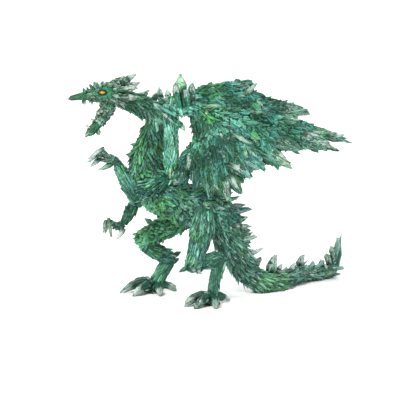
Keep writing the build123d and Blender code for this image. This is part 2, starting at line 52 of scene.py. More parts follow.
# ---- Torso ------------------------------------------------------------------------------------------
# Two hollow castings of tough moulded plastic, glued along the middle. Their skin is sculpted as small
# crystals: long ones swept back over the flanks, short chunky ones on the belly. The paint is a dark
# green wash, teal and grass-green layers, and a pale grey brushed dry over tips and ridges; the wash
# is laid on thicker in recesses and at crystal roots as painted shade.
MM = 0.001             # a millimetre, in metres
SEAM = 0.03 * MM       # crystals start this far from a neighbouring casting
SHUT_IN = 1.2 * MM     # and not where something stands this close in front of the skin
FLOOR_GAP = 0.15 * MM  # crystals stop this far above the ground
JUST_OFF = 0.01 * MM   # how far off the skin a ray starts
EASING = 9 * MM        # crystals get shorter this far before the end of a bone
CORNERS = 5            # corners of a crystal's cross-section
BLUNT = (0.25, 0.45)   # the share in which a blunt crystal narrows, from least to most
CHUNKY = (0.25, 0.5)   # the same for a chunky one
SIDES = (("left", -1), ("right", 1))  # the figure's sides, and the sign of y on each


def paint(hex_colour):
    """A linear colour from an sRGB hex value: the standard curve, undone channel by channel."""
    value = np.array([int(hex_colour[k:k + 2], 16) for k in (1, 3, 5)]) / 255
    linear = np.where(value <= 0.04045, value / 12.92, ((value + 0.055) / 1.055) ** 2.4)
    return (*(float(c) for c in linear), 1.0)


def unit(vectors):
    """Each row divided by its own length, or by a tiny one where it has none."""
    return vectors / np.maximum(np.linalg.norm(vectors, axis=-1, keepdims=True), 1e-12)


def skin(name):
    """A casting's triangles, as an array of triangles by three corners by x, y and z."""
    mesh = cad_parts[name].data
    mesh.calc_loop_triangles()
    places = np.empty(3 * len(mesh.vertices), np.float32)
    corners = np.empty(3 * len(mesh.loop_triangles), np.int32)
    mesh.vertices.foreach_get("co", places)
    mesh.loop_triangles.foreach_get("vertices", corners)
    return places.reshape(-1, 3)[corners].reshape(-1, 3, 3).astype(float)


def tree_of(triangles):
    """A search tree over loose triangles, for the nearest point and for rays."""
    order = np.arange(3 * len(triangles)).reshape(-1, 3)
    return BVHTree.FromPolygons(triangles.reshape(-1, 3).tolist(), order.tolist())


skins = {name: skin(name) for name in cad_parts}
whole_skin = tree_of(np.concatenate(list(skins.values())))


def middle(*names):
    """The middle of the box round one or more castings."""
    corners = np.array([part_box(name) for name in names], float)
    return (corners[:, 0].min(0) + corners[:, 1].max(0)) / 2


def spot(name, share_x, share_z, side):
    """The place on a casting's left or right face at these shares of its box's length and height, and
    the way the skin faces there. side is the sign of y on that face. Beyond the casting's outline it is
    the nearest place on the skin."""
    low, high = (np.array(c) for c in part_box(name))
    x, y, z = low + np.array([share_x, 0.5, share_z]) * (high - low)
    own = tree_of(skins[name])
    place, facing = own.ray_cast(Vector((x, side, z)), Vector((0, -side, 0)))[:2]
    if place is None:
        place, facing = own.find_nearest(Vector((x, y, z)))[:2]
    return np.array(place), np.array(facing)


def scatter(name, spacing, stout, rng):
    """Crystal roots on a casting's open skin: random points, even by area, thinned to one in each cube
    of side spacing. Left out are points that touch another casting or the ground, that are shut in, or
    where the casting is thinner than stout."""
    triangles = skins[name]
    first, second = triangles[:, 1] - triangles[:, 0], triangles[:, 2] - triangles[:, 0]
    normal = np.cross(first, second)
    area = np.linalg.norm(normal, axis=1)
    count = int(3 * area.sum() / spacing ** 2)
    pick = rng.choice(len(triangles), count, p=area / area.sum())
    a, b = rng.random((2, count, 1))
    a, b = np.where(a + b > 1, 1 - a, a), np.where(a + b > 1, 1 - b, b)
    place = triangles[pick, 0] + a * first[pick] + b * second[pick]
    facing = unit(normal[pick])
    _, kept = np.unique(np.floor(place / spacing), axis=0, return_index=True)
    place, facing = place[kept], facing[kept]
    others = tree_of(np.concatenate([t for n, t in skins.items() if n != name]))
    own = tree_of(triangles)
    gap = np.array([others.find_nearest(p)[3] for p in place.tolist()])
    inside, outside = place - facing * JUST_OFF, place + facing * JUST_OFF
    depth = np.array([own.ray_cast(Vector(p), Vector(d))[3] or 0 for p, d in zip(inside, -facing)])
    ahead = [whole_skin.ray_cast(Vector(p), Vector(d), SHUT_IN)[0] for p, d in zip(outside, facing)]
    shut = np.array([hit is not None for hit in ahead])
    keep = (gap > SEAM) & (depth > stout) & ~shut & (place[:, 2] > FLOOR_GAP)
    return place[keep], facing[keep]


def lay_along(*stops):
    """A lay of crystals that follows a chain of stops: near each run of the chain it points along that
    run, and between runs it blends, each weighted by one over its distance squared."""
    stops = np.array(stops)
    starts, runs = stops[:-1], np.diff(stops, axis=0)

    def lay(place):
        reach = place[:, None] - starts
        share = ((reach * runs).sum(-1) / (runs * runs).sum(-1)).clip(0, 1)
        away = np.linalg.norm(reach - share[..., None] * runs, axis=-1)
        weight = 1 / (away + MM) ** 2
        return unit((weight[..., None] * unit(runs)).sum(1))

    return lay


def cloud(place, size, seed):
    """Smooth noise from 0 to 1 with blobs about size across: the mean of six sine waves that run in
    random directions."""
    rng = np.random.default_rng(seed)
    ways = unit(rng.normal(size=(6, 3))) * rng.uniform(0.7, 1.5, (6, 1)) * np.pi / size
    waves = np.sin(place @ ways.T + rng.uniform(0, 2 * np.pi, 6))
    return (0.5 + 0.9 * waves.mean(1)).clip(0, 1)


def patch(place, start, end, radius):
    """A soft patch round the line from start to end: e to the power of minus the square of the distance
    over the radius."""
    run = np.subtract(end, start)
    share = ((place - start) @ run / max(run @ run, 1e-12)).clip(0, 1)
    away = np.linalg.norm(place - start - share[:, None] * run, axis=1)
    return np.exp(-(away / radius) ** 2)


def crystals(root, axis, up, length, width, depth, point, rng):
    """The corners of many crystals. Each is three rings of CORNERS points, at its root, its shoulder
    and its neck, then a tip that leans to one side. Rings are ellipses with uneven corners. point is
    about the share of the length in which the crystal narrows."""
    count = len(root)
    across = np.cross(axis, up)
    turn = 2 * np.pi * (np.arange(CORNERS) + rng.random((count, 1))) / CORNERS
    shoulder = 1 - point * rng.uniform(1.1, 1.5, count)
    neck = 1 - point * rng.uniform(0.35, 0.6, count)
    levels = np.stack([np.zeros(count), shoulder.clip(0.2, 1), neck], 1)
    girth = np.stack([np.full(count, 0.75), np.ones(count), rng.uniform(0.5, 0.75, count)], 1)
    uneven = rng.uniform(0.8, 1.2, (count, 1, CORNERS))
    sideways = girth[..., None] * uneven * np.cos(turn)[:, None] * width[:, None, None] / 2
    outward = girth[..., None] * uneven * np.sin(turn)[:, None] * depth[:, None, None] / 2
    rings = (
        root[:, None, None]
        + axis[:, None, None] * (levels * length[:, None])[..., None, None]
        + across[:, None, None] * sideways[..., None]
        + up[:, None, None] * outward[..., None]
    )
    lean = rng.uniform(-0.3, 0.3, (2, count, 1))
    tip = root + axis * length[:, None] + across * width[:, None] * lean[0] + up * depth[:, None] * lean[1]
    corners = np.concatenate([rings.reshape(count, -1, 3), tip[:, None]], 1)
    return corners, np.concatenate([np.repeat(levels, CORNERS, 1), np.ones((count, 1))], 1)


def crystal_faces():
    """One crystal's faces as corner lists, each with its place across the facet: sides, point and root."""
    faces, across = [], []
    for ring in (0, 1):
        for k in range(CORNERS):
            low, n = ring * CORNERS, (k + 1) % CORNERS
            faces.append([low + k, low + CORNERS + k, low + CORNERS + n, low + n])
            across.append([0, 0, 1, 1])
    for k in range(CORNERS):
        faces.append([2 * CORNERS + k, 3 * CORNERS, 2 * CORNERS + (k + 1) % CORNERS])
        across.append([0, 0.5, 1])
    faces.append(list(range(CORNERS)))
    across.append([0.5] * CORNERS)
    return faces, across


def crystal_mesh(name, corners, levels, coat):
    """One mesh of many crystals: the same faces repeated for each. The UV map facet holds the shares
    across a facet and along the crystal, and the UV map lines holds the same two as lengths in mm. The
    paint attribute holds tone, grass, frost and light for a crystal."""
    count, size = corners.shape[:2]
    faces, across = crystal_faces()
    loops = np.concatenate(faces)
    starts = np.cumsum([0] + [len(f) for f in faces[:-1]])
    base = np.arange(count)[:, None]
    mesh = bpy.data.meshes.new(name)
    mesh.vertices.add(count * size)
    mesh.vertices.foreach_set("co", corners.astype(np.float32).ravel())
    mesh.loops.add(count * len(loops))
    mesh.loops.foreach_set("vertex_index", (base * size + loops).astype(np.int32).ravel())
    mesh.polygons.add(count * len(faces))
    mesh.polygons.foreach_set("loop_start", (base * len(loops) + starts).astype(np.int32).ravel())
    mesh.update(calc_edges=True)
    mesh.validate()
    uv = np.stack([np.broadcast_to(np.concatenate(across), (count, len(loops))), levels[:, loops]], -1)
    mesh.uv_layers.new(name="facet").data.foreach_set("uv", uv.astype(np.float32).ravel())
    edge = np.linalg.norm(corners[:, CORNERS + 1] - corners[:, CORNERS], axis=1)
    length = np.linalg.norm(corners[:, -1] - corners[:, 0], axis=1)
    uv = uv * np.stack([edge, length], 1)[:, None] / MM
    mesh.uv_layers.new(name="lines").data.foreach_set("uv", uv.astype(np.float32).ravel())
    attribute = mesh.attributes.new("paint", "FLOAT_COLOR", "POINT")
    attribute.data.foreach_set("color", np.repeat(coat, size, 0).astype(np.float32).ravel())
    return mesh


def fix(name, mesh, material):
    """Puts one painted piece on the figure."""
    piece = bpy.data.objects.new(name, mesh)
    bpy.context.collection.objects.link(piece)
    piece.data.materials.append(material)
    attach(piece, "root")


def stand(name, kind, slot, corners, levels, coat):
    """Makes one piece of crystals, kept above the ground and within MM of the castings' box, and paints
    it and the casting that it grows on."""
    low, high = np.array(cad_box, float)
    low = np.array([low[0] - MM, low[1] - MM, FLOOR_GAP])
    mesh = crystal_mesh(name, corners.clip(low, high + MM), levels, coat)
    fix(f"{name}_{kind}", mesh, coats[slot])
    if slot in cores:
        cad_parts[name].data.materials.clear()
        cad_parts[name].data.materials.append(cores[slot])


def points_of(name):
    """The points moulded on a casting: its crystals, claws and teeth. A point is a corner that sees all
    its neighbours within 45 degrees of one direction. Each row has the tip, the middle of its
    neighbours, the way of their widest spread as half that spread, and half their narrow spread."""
    corners, index = np.unique(np.round(skins[name].reshape(-1, 3), 6), axis=0, return_inverse=True)
    index = index.reshape(-1, 3)
    pairs = np.concatenate([index[:, [0, 1]], index[:, [1, 2]], index[:, [2, 0]]])
    pairs = np.unique(np.concatenate([pairs, pairs[:, ::-1]]), axis=0)
    found = []
    way = unit(corners[pairs[:, 1]] - corners[pairs[:, 0]])
    total = np.stack([np.bincount(pairs[:, 0], way[:, k], len(corners)) for k in range(3)], 1)
    within = np.ones(len(corners))
    np.minimum.at(within, pairs[:, 0], (way * unit(total)[pairs[:, 0]]).sum(1))
    for apex in np.flatnonzero(within > np.cos(np.radians(45))):
        around = corners[pairs[pairs[:, 0] == apex, 1]]
        if len(around) < 5:
            continue
        centre = around.mean(0)
        axis = unit(corners[apex] - centre)
        off = around - centre
        off = off - (off @ axis)[:, None] * axis
        spread, ways = np.linalg.eigh(off.T @ off / len(around))
        found.append((corners[apex], centre, ways[:, 2] * np.sqrt(2 * spread[2]), np.sqrt(2 * spread[1])))
    return found


def clear_of_points(name, place):
    """True where a place is clear of every point moulded on the casting."""
    clear = np.ones(len(place), bool)
    for tip, centre, side, _ in points_of(name):
        base = centre - (tip - centre)
        clear &= patch(place, base, tip, 1.25 * np.linalg.norm(side)) < np.exp(-1)
    return clear


def grow(name, slot, seed, lay, coat, spacing, length, width, lift, flat=0.7, swing=14, stout=5.0, to=None,
         kind="crystals", point=(0.3, 0.6), bold=0.12, bold_size=1.6, on_points=False, ease=None):
    """Grows a coat of crystals on one casting, with their roots just under the skin. Each lies along the
    lay, swung by up to swing degrees and lifted off the skin by about lift degrees. length and width are
    ranges in mm, and flat is the depth over the width. spacing and stout are in mm, and stout is the
    least thickness of casting that crystals grow on. A bold share of them is bold_size times as large.
    to keeps only roots for which it is true, and on_points lets crystals grow on moulded points too.
    ease is the end of a bone: in the last EASING before it crystals get shorter, so that none hangs over
    the joint."""
    rng = np.random.default_rng(seed)
    place, facing = scatter(name, spacing * MM, stout * MM, rng)
    kept = np.ones(len(place), bool) if to is None else to(place, facing)
    if not on_points:
        kept &= clear_of_points(name, place)
    place, facing = place[kept], facing[kept]
    count = len(place)
    big = rng.random(count) < bold
    size = np.where(big, bold_size, 1.0) * MM
    flow = lay(place) + rng.normal(scale=0.04, size=(count, 3))
    flow = unit(flow - facing * (flow * facing).sum(1, keepdims=True))
    turn = np.radians(rng.uniform(-swing, swing, (count, 1)))
    flow = flow * np.cos(turn) + np.cross(facing, flow) * np.sin(turn)
    rise = np.radians(rng.uniform(0.3 * lift, 1.6 * lift, (count, 1)))
    axis = flow * np.cos(rise) + facing * np.sin(rise)
    up = facing * np.cos(rise) - flow * np.sin(rise)
    long = rng.uniform(*length, count) * size
    if ease is not None:
        long = long * (((ease - place) * lay(place)).sum(1) / EASING).clip(0.3, 1)
    wide = rng.uniform(*width, count) * size
    root = place - axis * 0.3 * long[:, None] - facing * 0.25 * wide[:, None]
    narrowing = rng.uniform(*point, count)
    corners, levels = crystals(root, axis, up, long, wide, wide * flat, narrowing, rng)
    stand(name, kind, slot, corners, levels, coat(place, rng, big))


def plant(name, kind, slot, seed, coat, outer, *stones):
    """Sets single crystals, as listed, on one face of a casting. outer is the sign of y on that face. Each
    stone has the shares of the casting's box at which it stands, how far it reaches in mm backwards,
    outwards and upwards, and its width in mm."""
    rng = np.random.default_rng(seed)
    place, facing = (np.array(row) for row in zip(*(spot(name, *stone[:2], outer) for stone in stones)))
    reach = np.array([stone[2] for stone in stones]) * [1, outer, 1] * MM
    wide = np.array([stone[3] for stone in stones]) * MM
    axis = unit(reach)
    up = unit(facing - axis * (facing * axis).sum(1, keepdims=True))
    long = np.linalg.norm(reach, axis=1)
    root = place - axis * (0.25 * long)[:, None]
    narrowing = rng.uniform(0.3, 0.5, len(stones))
    corners, levels = crystals(root, axis, up, 1.25 * long, wide, 0.8 * wide, narrowing, rng)
    stand(name, kind, slot, corners, levels, coat(place, rng))


def add(tree, kind, sources=(), output=0, **settings):
    """Adds one shader node and returns one of its outputs. sources are other nodes' outputs or
    constants: in the order of its inputs, or by an input's name. settings are its own properties."""
    made = tree.nodes.new("ShaderNode" + kind)
    for key, value in settings.items():
        setattr(made, key, value)
    inputs = [socket for socket in made.inputs if socket.enabled]
    named = sources.items() if isinstance(sources, dict) else enumerate(sources)
    for key, source in named:
        socket = inputs[key] if isinstance(key, int) else next(s for s in inputs if s.name == key)
        if isinstance(source, bpy.types.NodeSocket):
            tree.links.new(source, socket)
        else:
            socket.default_value = source
    return [socket for socket in made.outputs if socket.enabled][output]


def acrylic(name):
    """A material of matte acrylic paint over moulded plastic, with its tree and its shader."""
    material = bpy.data.materials.new(name)
    material.use_nodes = True
    tree = material.node_tree
    shader = tree.nodes["Principled BSDF"]
    shader.inputs["IOR"].default_value = 1.5
    shader.inputs["Specular IOR Level"].default_value = 0.25
    return material, tree, shader


# DEEP is both the wash and painted shade: crystal roots and shut-in parts are darkened to it.
DEEP = "#0a3023"   # the dark green wash that settles in every recess
GLOW = "#86ccb6"   # the light teal of the last brushed layer
FROST = "#a3b5ae"  # the pale grey that is brushed dry over the tips
MARKS = 1.0 / MM   # scale of the brush marks, which are about 1 mm across
GRAIN = 3.2 / MM   # scale of the grain in dry-brushed paint, which is about 0.3 mm
LINES_ACROSS, LINES_ALONG = 2.6, 0.5  # fine lines to a millimetre, across and along a facet
SOFT = {"interpolation_type": "SMOOTHSTEP"}
COLOUR = {"data_type": "RGBA"}


def brush(tree, colour, *layers):
    """Brushes layers of paint over a colour, in order. Each layer has the output that guides it, two
    values of that guide, how much the layer covers at each of them, and its sRGB colour."""
    for guide, start, end, first, last, over in layers:
        cover = add(tree, "MapRange", (guide, start, end, first, last), **SOFT)
        colour = add(tree, "Mix", (cover, colour, paint(over)), **COLOUR)
    return colour


def crystal_paint(name, teal, leaf, grass, glow=GLOW, frost=FROST, deep=DEEP):
    """Painted crystals. Across the coat teal drifts to leaf green, with grass-green patches, and each
    crystal is darker or lighter. The wash, deepened by painted shade, darkens its root and what is shut
    in, and dry-brushed paint pales its ridges and its tip: light teal on most, pale grey on frosted ones."""
    material, tree, shader = acrylic(name)
    across, along, _ = add(tree, "SeparateXYZ", (add(tree, "UVMap", uv_map="facet"),)).node.outputs
    coat = add(tree, "Attribute", attribute_name="paint").node.outputs
    tone, patched, frosty = add(tree, "SeparateColor", (coat["Color"],)).node.outputs
    light = coat["Alpha"]
    place = add(tree, "TexCoord", output=3)
    marks = add(tree, "TexNoise", {"Vector": place, "Scale": MARKS, "Detail": 3.0})
    grain = add(tree, "TexNoise", {"Vector": place, "Scale": GRAIN, "Detail": 2.0})
    # Fine lines run along each facet, and are shifted from one crystal to the next.
    lines = add(tree, "SeparateXYZ", (add(tree, "UVMap", uv_map="lines"),)).node.outputs
    crosswise = add(tree, "Math", (lines["X"], LINES_ACROSS), operation="MULTIPLY")
    lengthwise = add(tree, "Math", (lines["Y"], LINES_ALONG), operation="MULTIPLY")
    shift = add(tree, "Math", (light, 40.0), operation="MULTIPLY")
    on_facet = add(tree, "CombineXYZ", (crosswise, lengthwise, shift))
    streak = add(tree, "TexNoise", {"Vector": on_facet, "Scale": 1.0})

    drift = add(tree, "Math", (marks, 0.5, tone), operation="MULTIPLY_ADD")
    bright = add(tree, "Math", (marks, 0.5, light), operation="MULTIPLY_ADD")
    hollow = add(tree, "AmbientOcclusion", {"Distance": 2.0 * MM}, 1, samples=6)
    colour = brush(
        tree, paint(teal),
        (drift, 0.62, 0.88, 0.0, 1.0, leaf),
        (patched, 0.25, 0.7, 0.0, 1.0, grass),
        (bright, 0.92, 0.35, 0.0, 0.88, deep),  # darker crystals
        (bright, 0.85, 1.3, 0.0, 0.6, glow),    # lighter crystals
        (streak, 0.3, 0.65, 0.55, 0.0, deep),   # fine lines
        # The next two layers are painted shade in the wash's colour: at each crystal's root, where it meets
        # the skin, and in recesses.
        (along, 0.4, 0.05, 0.0, 0.7, deep),     # roots
        (hollow, 0.7, 0.25, 0.0, 0.95, deep),   # recesses
    )
    # Dry-brushed paint catches on the ridges between facets and on the tip. It breaks up in the grain,
    # stays out of recesses, and is thinner on darker crystals.
    off_middle = add(tree, "Math", (across, 0.5), operation="SUBTRACT")
    off_middle = add(tree, "Math", (off_middle,), operation="ABSOLUTE")
    ridge = add(tree, "MapRange", (off_middle, 0.3, 0.46, 0.0, 0.8), **SOFT)
    tip = add(tree, "MapRange", (along, 0.7, 1.0, 0.0, 0.7), **SOFT)
    dry = add(tree, "Math", (ridge, tip), operation="MAXIMUM")
    for cover in (
        add(tree, "MapRange", (grain, 0.35, 0.6, 0.35, 1.0), **SOFT),
        add(tree, "MapRange", (hollow, 0.2, 0.6), **SOFT),
        add(tree, "MapRange", (light, 0.1, 0.8, 0.2, 1.0)),
    ):
        dry = add(tree, "Math", (dry, cover), operation="MULTIPLY")
    # Frosted crystals are also pale in streaks over their whole length, except at the root.
    frosted = add(tree, "Math", (streak, 3.0, frosty), operation="MULTIPLY_ADD")
    frosted = add(tree, "Math", (grain, 0.6, frosted), operation="MULTIPLY_ADD")
    frosted = add(tree, "MapRange", (frosted, 2.3, 2.75, 0.0, 0.85), **SOFT)
    above_root = add(tree, "MapRange", (along, 0.1, 0.5), **SOFT)
    frosted = add(tree, "Math", (frosted, above_root), operation="MULTIPLY")
    dry = add(tree, "Math", (dry, frosted), operation="MAXIMUM")
    chalk = brush(tree, paint(glow), (frosty, 0.15, 0.6, 0.0, 1.0, frost))
    colour = add(tree, "Mix", (dry, colour, chalk), **COLOUR)
    tree.links.new(colour, shader.inputs["Base Color"])
    tree.links.new(add(tree, "MapRange", (dry, 0.0, 1.0, 0.42, 0.68)), shader.inputs["Roughness"])
    bump = add(tree, "Bump", {"Height": streak, "Strength": 0.4, "Distance": 0.15 * MM})
    tree.links.new(bump, shader.inputs["Normal"])
    return material


def core_paint(name, body, face=None):
    """The casting under the crystals. The wash and painted shade keep it dark where it is shut in, with
    body colour brushed on wherever it stands clear, in marks 1.1 mm across with grain of 0.4 mm. face is
    a patch round the eye: its middle's x and z, its radius and its colour."""
    material, tree, shader = acrylic(name)
    place = add(tree, "TexCoord", output=3)
    marks = add(tree, "TexNoise", {"Vector": place, "Scale": 0.9 / MM, "Detail": 4.0})
    grain = add(tree, "TexNoise", {"Vector": place, "Scale": 2.6 / MM, "Detail": 2.0})
    open_air = add(tree, "AmbientOcclusion", {"Distance": 3 * MM}, 1, samples=8)
    brushed = add(tree, "MapRange", (marks, 0.3, 0.65, 0.2, 1.0), **SOFT)
    clear = add(tree, "Math", (open_air, brushed), operation="MULTIPLY")
    colour = brush(tree, paint(DEEP), (clear, 0.3, 0.9, 0.0, 1.0, body))
    if face is not None:
        x, z, radius, face_colour = face
        here = add(tree, "SeparateXYZ", (place,)).node.outputs
        flat_place = add(tree, "CombineXYZ", {"X": here["X"], "Z": here["Z"]})
        away = add(tree, "VectorMath", (flat_place, (x, 0, z)), operation="DISTANCE")
        near = add(tree, "MapRange", (away, radius, 0.6 * radius), **SOFT)
        near = add(tree, "Math", (near, brushed), operation="MULTIPLY")
        colour = add(tree, "Mix", (near, colour, paint(face_colour)), **COLOUR)
    tree.links.new(colour, shader.inputs["Base Color"])
    tree.links.new(add(tree, "MapRange", (grain, 0.3, 0.7, 0.4, 0.6)), shader.inputs["Roughness"])
    bump = add(tree, "Bump", {"Height": grain, "Strength": 0.4, "Distance": 0.15 * MM})
    tree.links.new(bump, shader.inputs["Normal"])
    return material


coats = {"hide": crystal_paint("acrylic_on_body_crystals", "#1c6a66", "#195a36", "#36912a")}
cores = {"hide": core_paint("acrylic_on_torso", "#174f3e")}


def coat_of(seed, frost=0.1, grass=(), light=(), frosting=None, mean_light=0.48, speckle=0.5, flecks=0.04):
    """A coat of paint: the tone drifts in clouds 9 mm across, and the light round mean_light in clouds
    7 mm across. speckle is how much of the light's change is from crystal to crystal. grass and light
    are patches, each a start, an end, a radius and a strength. frost is the usual amount of pale paint,
    frosting adds some by place, and flecks is the share of the crystals that have much more."""

    def coat(place, rng, big=0):
        count = len(place)
        tone = 0.75 * cloud(place, 9 * MM, seed) + 0.35 * rng.random(count) - 0.05
        green = 0.85 * cloud(place, 7 * MM, seed + 1) ** 2 * rng.uniform(0.3, 1.3, count)
        for start, end, radius, strength in grass:
            dabbed = strength * patch(place, start, end, radius)
            green = np.maximum(green, dabbed * rng.uniform(0.4, 1.3, count))
        shade = 1.2 * (1 - speckle) * (cloud(place, 7 * MM, seed + 2) - 0.5)
        bright = mean_light + shade + speckle * (rng.random(count) - 0.5) + 0.1 * big
        for start, end, radius, strength in light:
            bright = bright + strength * patch(place, start, end, radius)
        frosty = frost * rng.uniform(0.5, 1.5, count) + 0.5 * (rng.random(count) < flecks) + 0.15 * big
        if frosting is not None:
            frosty = frosty + frosting(place) * rng.uniform(0.5, 1.2, count)
        return np.stack([tone, green, frosty, bright], 1).clip(0, 1.3)

    return coat


def dab(point, radius, strength):
    """A round patch of paint at a point, with its radius in mm."""
    return point, point, radius * MM, strength


trunk = middle("torso_left", "torso_right")
trunk_low, trunk_high = (np.array(c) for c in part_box("torso_left"))
chest_front = np.array([trunk_low[0], 0, trunk_high[2] - 12 * MM])
belly = np.array([trunk[0] - 12 * MM, 0, trunk_low[2] + 14 * MM])
haunch = np.array([trunk_high[0] - 12 * MM, 0, trunk_low[2] + 10.5 * MM])
spine = lay_along(
    middle("head"), middle("neck_top"), middle("neck_base"), chest_front + [14 * MM, 0, 0], trunk, haunch,
    middle("tail_root"), middle("tail_bend"), middle("tail_sweep"), middle("tail_end"),
)
rump = haunch + np.array([0, -3, 12]) * MM
waist = spot("torso_left", 0.23, 0.47, -1)[0]
torso_grass = [(chest_front, belly, 9 * MM, 1.1), dab(rump, 7, 0.8), dab(waist, 8, 1.3)]


def outside(place, facing):
    """True on the torso's outer skin, which faces away from the middle of the body, and false in its
    hollow. The middle is the nearest of three places, in the chest, the trunk and the haunch."""
    ahead = chest_front + [14 * MM, 0, -2 * MM]
    stops = np.array([ahead, trunk + [0, 0, -2 * MM], haunch])
    away = np.array([np.linalg.norm(place - s, axis=1) for s in stops])
    towards = stops[np.argmin(away, axis=0)]
    return ((place - towards) * facing).sum(1) > 0.3 * away.min(0)


def is_belly(place, facing):
    """True on the underside of the torso."""
    return outside(place, facing) & (facing[:, 2] < -0.2)


def is_flank(place, facing):
    """True on the sides and the back of the torso."""
    return outside(place, facing) & (facing[:, 2] >= -0.2)


for k, (side, outer) in enumerate(SIDES):
    name = f"torso_{side}"
    grow(name, "hide", 10 + k, spine, coat_of(1, grass=torso_grass), spacing=1.7, length=(3.0, 6.0),
         width=(1.4, 2.5), lift=28, stout=2.5, to=is_flank, swing=45, point=CHUNKY)
    grow(name, "hide", 12 + k, spine, coat_of(3, grass=torso_grass), spacing=1.5, length=(2.4, 4.0),
         width=(1.5, 2.4), lift=38, swing=50, stout=2.5, to=is_belly, kind="belly_crystals",
         point=BLUNT)
    plant(name, "hip_crystals", "hide", 102 + k, coat_of(47, 0.55, mean_light=0.4), outer,
          (0.92, 0.30, (13, 0.5, 2), 4.6), (0.85, 0.47, (10, 1.5, 2), 3.8), (0.60, 0.44, (2, 2, -7), 3.2),
          (0.68, 0.46, (4, 2, -6), 3.0), (0.53, 0.47, (-1.5, 2, -6), 2.8), (0.76, 0.50, (5, 2, -3), 2.8))

# ---- Neck and lower neck --------------------------------------------------------------------------
# Two solid castings pegged into each other. Long narrow crystals run down them from the head, and turn
# grass green down the front, where the throat meets the chest.
coats["chest"] = crystal_paint("acrylic_on_neck_crystals", "#1b5a50", "#185030", "#37862a")
cores["chest"] = core_paint("acrylic_on_neck_base", "#174f35")
throat_top, _ = spot("neck_base", 0.5, 0.85, -1)
throat_low, _ = spot("neck_base", 0.35, 0.3, -1)
to_front = np.array([-4, 0, 0]) * MM
throat_grass = [(throat_top + to_front, throat_low + 1.5 * to_front, 5 * MM, 1.1)]


def chosen_points(name, to):
    """The rows of points_of as arrays, for those points for which to is true of their tips and ways."""
    tips, centres, sides, thin = (np.array(row) for row in zip(*points_of(name)))
    kept = np.ones(len(tips), bool) if to is None else to(tips, unit(tips - centres))
    return tips[kept], centres[kept], sides[kept], thin[kept]


def dress(name, slot, seed, coat, back=1.0, kind="points", narrow=(0.45, 0.6), fat=1.08, to=None):
    """Dresses each point of a casting in one crystal of its own, fat times as wide, from back times the
    point's length behind its shoulder to just past its tip. narrow is the share in which it narrows."""
    rng = np.random.default_rng(seed)
    tips, centres, sides, thin = chosen_points(name, to)
    axis, reach = unit(tips - centres), np.linalg.norm(tips - centres, axis=1)
    up = np.cross(unit(sides), axis)
    root = centres - axis * (back * reach)[:, None]
    long = reach * (1 + back) + 0.3 * MM
    wide, deep = 2 * fat * np.linalg.norm(sides, axis=1), 2 * fat * thin
    narrowing = rng.uniform(*narrow, len(tips))
    corners, levels = crystals(root, axis, up, long, wide, deep, narrowing, rng)
    stand(name, kind, slot, corners, levels, coat(tips, rng))


grow("neck_base", "chest", 20, spine, coat_of(5, 0.05, throat_grass, mean_light=0.33), spacing=1.5,
     length=(4.5, 9), width=(1.1, 1.9), lift=20, stout=4.0)
dress("neck_base", "chest", 22, coat_of(7, 0.1, throat_grass))
grow("neck_top", "chest", 21, spine, coat_of(6, 0.15), spacing=1.5, length=(4, 8), width=(1.1, 1.9),
     lift=22, stout=4.0, swing=20)
dress("neck_top", "chest", 23, coat_of(7, 0.5))

# ---- Head and lower jaw ---------------------------------------------------------------------------
# The skull is one casting with its crest, and the hanging lower jaw is another. Small crystals sweep
# back from the nose to the crest, the snout's end is a smooth green beak, and short plates lie round each
# eye. The eyes are glossy gold paint, lighter in the middle as a painted highlight, in dark sockets that
# also stand in for the shade round each eye.
EYE_PLACE = (0.45, 0.52)                   # the eye's shares of the head's length and height
EYE = np.array([2.2, 1.1, 0.8]) * MM       # half the eye's length and height, and how far it bulges
SOCKET = np.array([3.3, 2.1, 0.45]) * MM   # the same for the dark socket round it
PINCH = 0.35                               # how much lower the eye is at its two ends
FACE = 5.4 * MM                            # radius of the face round each eye
BEHIND_EYE = np.array([1.5, 0, 0]) * MM    # from the eye to the middle of the face
BUNDLE = np.array([-0.6, -0.3, 0.0, 0.3, 0.6])  # where the crystals of a bundle stand across a point
head_low, head_high = (np.array(c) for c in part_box("head"))
jaw_low, jaw_high = (np.array(c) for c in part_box("lower_jaw"))
snout = np.array([head_low[0], 0, middle("head")[2] - 3 * MM])
beak_end = head_low[0] + 10 * MM
teeth_end = head_low[0] + 28 * MM
eye_spot, _ = spot("head", *EYE_PLACE, -1)
face_middle = eye_spot + BEHIND_EYE
coats["skull"] = crystal_paint(
    "acrylic_on_head_crystals", "#246152", "#265739", "#386f38", "#8cc0ac", "#a6b6af"
)
coats["tooth"] = crystal_paint("acrylic_on_teeth", "#8fa39a", "#a8a08f", "#7f9a80", "#b4beb4", "#bcc4ba")
cores["skull"] = core_paint("acrylic_on_skull", "#235f3e", (eye_spot[0], eye_spot[2], 7 * MM, "#2f7c5e"))


def lay_from(point):
    """A lay of crystals that radiates from a point."""
    return lambda place: unit(place - point)


